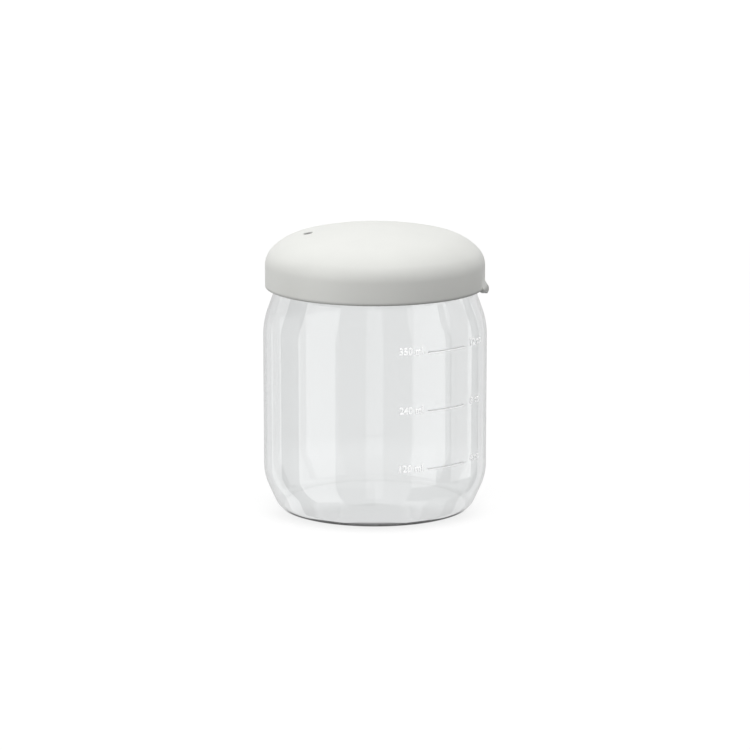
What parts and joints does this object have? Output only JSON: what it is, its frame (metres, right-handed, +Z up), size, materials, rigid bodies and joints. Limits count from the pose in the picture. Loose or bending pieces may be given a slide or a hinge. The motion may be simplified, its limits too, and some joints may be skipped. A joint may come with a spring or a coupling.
{
  "type": "glass storage jar",
  "caption": "Round clear glass storage jar with sloped shoulders and raised volume marks, and a push-on domed matte lid with pull tab, vent and silicone seal.",
  "frame": {"origin": "centre of the flat bearing ring under the glass, on the surface that the jar stands on", "axes": "+Z up along the jar's turned axis; +X towards the lid's pull tab (4 degrees off it); -Y towards the picture's camera"},
  "size_m": [0.0897, 0.089, 0.113],
  "materials": {
    "clear_glass": "clear pressed soda-lime glass, smooth and glossy",
    "matte_white_plastic": "warm white polypropylene with a fine matte surface",
    "seal_silicone": "translucent milky silicone rubber, satin",
    "grey_silicone": "grey silicone rubber, matte"
  },
  "bodies": {
    "jar": {"glass_jar": "clear_glass"},
    "lid": {"lid_cover": "matte_white_plastic", "seal_ring": "seal_silicone", "vent_valve": "grey_silicone"}
  },
  "joints": [
    {"name": "lid_lift", "type": "slide", "parent": "jar", "child": "lid", "axis": [0, 0, 1], "range_m": [0, 0.04]}
  ]
}
